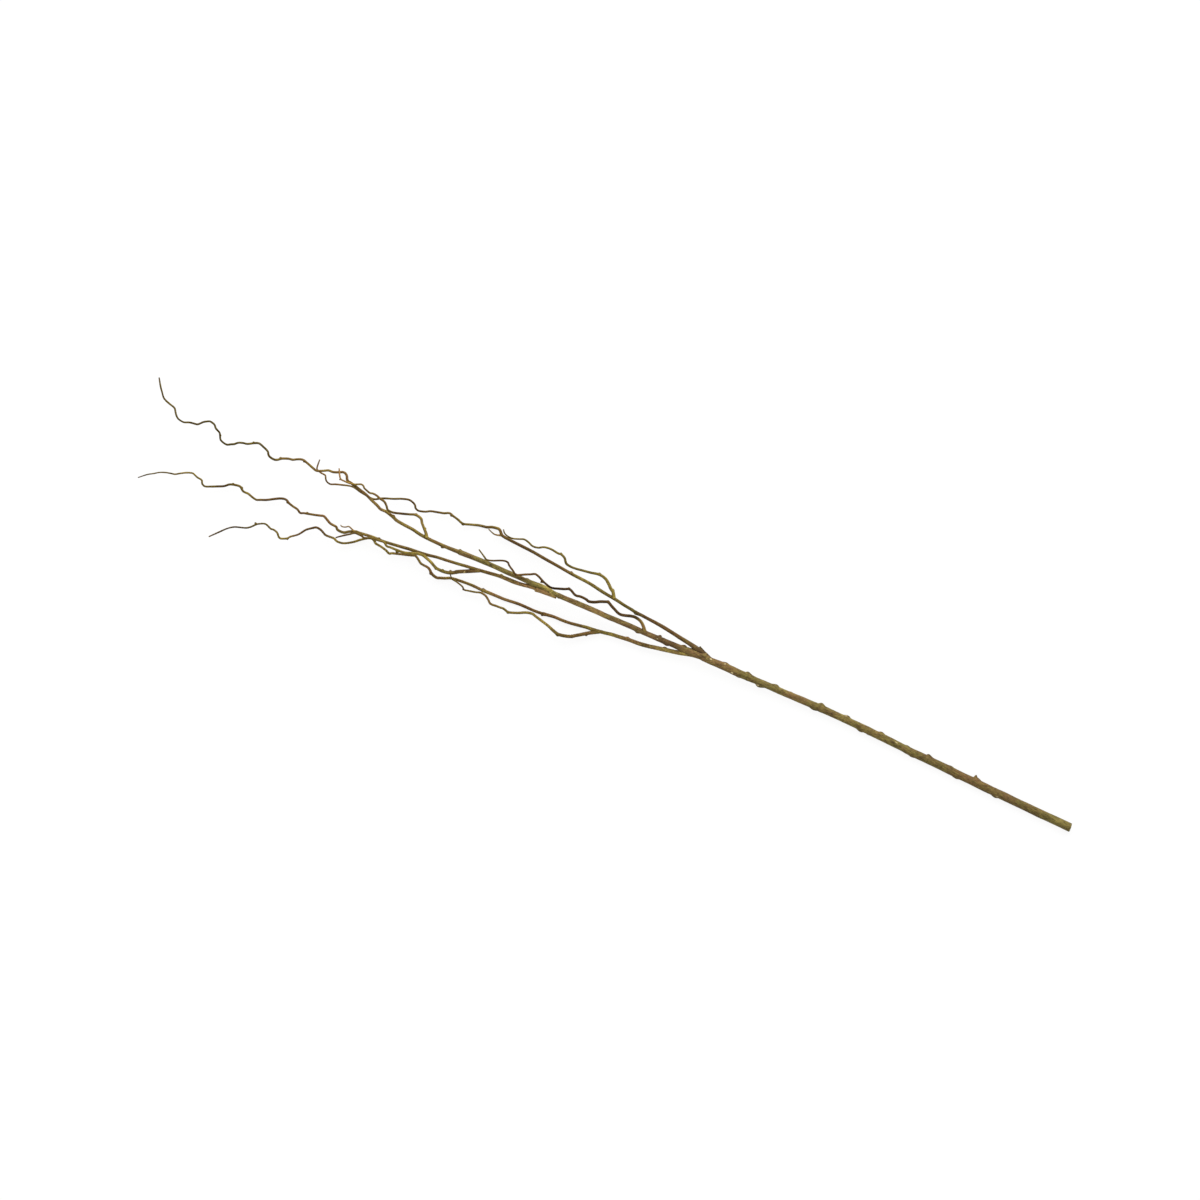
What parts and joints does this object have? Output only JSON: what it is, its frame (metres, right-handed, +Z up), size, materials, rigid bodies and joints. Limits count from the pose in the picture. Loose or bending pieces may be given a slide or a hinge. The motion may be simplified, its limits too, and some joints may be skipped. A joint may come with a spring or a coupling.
{
  "type": "curly willow branch",
  "caption": "Cut curly willow branch lying down: a straight knobbly stem, a fork of limbs, and thin coiling shoots and twigs grown as one piece.",
  "frame": {"origin": "on the table, under the middle of the branch's box", "axes": "+X along the stem from the cut end towards the tips, +Y to the left looking that way, +Z up from the table"},
  "size_m": [1.213, 0.1621, 0.0701],
  "materials": {
    "bark": "thin satin bark, mottled olive, tan and reddish brown"
  },
  "bodies": {
    "root": {"branch": "bark"}
  },
  "joints": []
}
